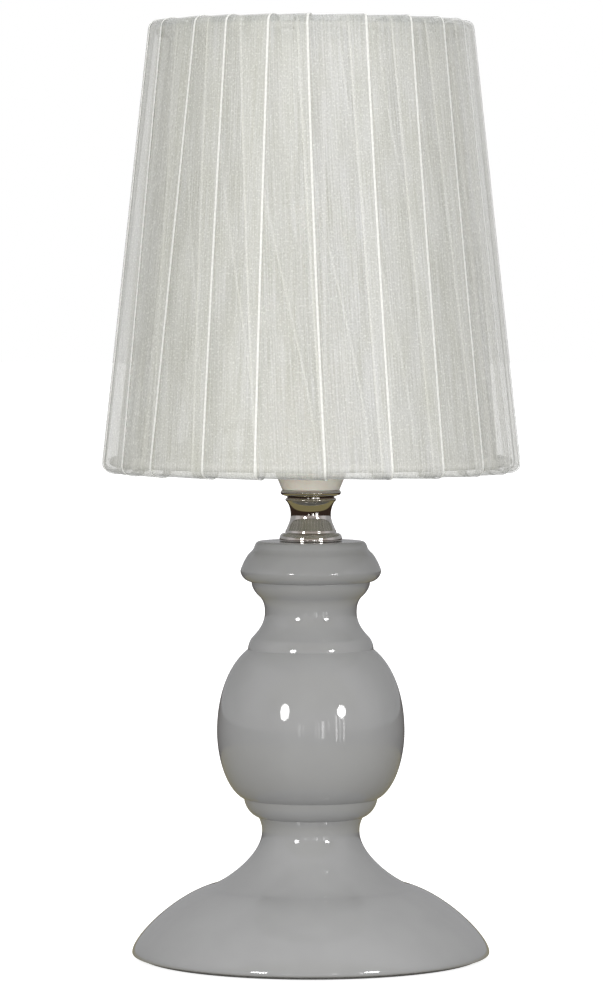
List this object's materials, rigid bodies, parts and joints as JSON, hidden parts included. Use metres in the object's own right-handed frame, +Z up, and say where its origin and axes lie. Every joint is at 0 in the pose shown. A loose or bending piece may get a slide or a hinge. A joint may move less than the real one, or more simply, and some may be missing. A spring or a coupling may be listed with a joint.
{
  "type": "bedside lamp",
  "caption": "Small bedside lamp: round glazed ceramic baluster body, chromed neck, screw lamp holder with bulb, and a conical shade of pale sheer ribbon wound over a wire frame.",
  "frame": {"origin": "centre of the underside, on the surface that the lamp stands on", "axes": "+Z up the axis of the lamp; -Y is the front; the cord outlet is at the back, towards +Y"},
  "size_m": [0.1492, 0.1502, 0.3376],
  "materials": {
    "felt": "dark pressed felt",
    "grey_glaze": "glossy neutral grey glaze",
    "soft_rubber": "matt, pale",
    "sheet_steel": "rolled steel sheet",
    "zinc_plate": "zinc-plated steel",
    "chrome_plate": "bright chrome plate",
    "pale_plastic": "moulded, ivory to blush",
    "porcelain": "white glazed porcelain",
    "contact_brass": "bright brass",
    "nickel_plate": "nickel-plated brass",
    "white_wire": "white epoxy-coated steel wire",
    "sheer_ribbon": "sheer woven ribbon, silvery white",
    "black_glass": "black glass insulator",
    "opal_glass": "white-coated glass",
    "clear_glass": "clear glass",
    "tungsten": "drawn tungsten wire"
  },
  "bodies": {
    "base": {"foot_pad": "felt", "ceramic_body": "grey_glaze", "cord_bush": "soft_rubber", "base_plate": "sheet_steel", "base_washer": "zinc_plate", "base_nut": "zinc_plate", "threaded_tube": "zinc_plate", "centring_bush": "soft_rubber", "neck": "chrome_plate", "neck_cup": "chrome_plate", "holder_dome": "pale_plastic", "tube_lock_screw": "zinc_plate", "holder_core": "porcelain", "terminal_screw_1": "contact_brass", "terminal_screw_2": "contact_brass", "centre_contact": "contact_brass", "screw_shell": "nickel_plate", "holder_barrel": "pale_plastic"},
    "shade_carrier": {"fitter_reducer": "pale_plastic"},
    "shade_ring": {"shade_ring": "pale_plastic"},
    "shade": {"fitter_ring": "white_wire", "fitter_arm_1": "white_wire", "fitter_arm_2": "white_wire", "fitter_arm_3": "white_wire", "shade_strut_1": "white_wire", "shade_strut_2": "white_wire", "shade_strut_3": "white_wire", "shade_strut_4": "white_wire", "shade_strut_5": "white_wire", "shade_strut_6": "white_wire", "shade_top_ring": "white_wire", "shade_bottom_ring": "white_wire", "shade_ribbon": "sheer_ribbon"},
    "bulb_carrier": {"bulb_tip": "zinc_plate"},
    "bulb": {"bulb_insulator": "black_glass", "bulb_cap": "nickel_plate", "bulb_glass": "opal_glass", "bulb_stem": "clear_glass", "lead_wire_1": "nickel_plate", "lead_wire_2": "nickel_plate", "filament": "tungsten"}
  },
  "joints": [
    {"name": "shade_rise", "type": "slide", "parent": "base", "child": "shade_carrier", "axis": [0, 0, 1], "range_m": [0, 0.0121]},
    {"name": "ring_screw", "type": "hinge", "parent": "shade_carrier", "child": "shade_ring", "pos_m": [0, 0, 0.1968], "axis": [0, 0, 1], "range_deg": [0, 1728]},
    {"name": "shade_turn", "type": "hinge", "parent": "shade_carrier", "child": "shade", "pos_m": [0, 0, 0.1928], "axis": [0, 0, 1], "continuous": true},
    {"name": "bulb_rise", "type": "slide", "parent": "base", "child": "bulb_carrier", "axis": [0, 0, 1], "range_m": [0, 0.0099]},
    {"name": "bulb_screw", "type": "hinge", "parent": "bulb_carrier", "child": "bulb", "pos_m": [0, 0, 0.2083], "axis": [0, 0, 1], "range_deg": [0, 1260]}
  ],
  "couplings": [
    {"joint": "shade_rise", "follows": "ring_screw", "m_per_rad": 0.00039789},
    {"joint": "bulb_rise", "follows": "bulb_screw", "m_per_rad": 0.00044913}
  ]
}
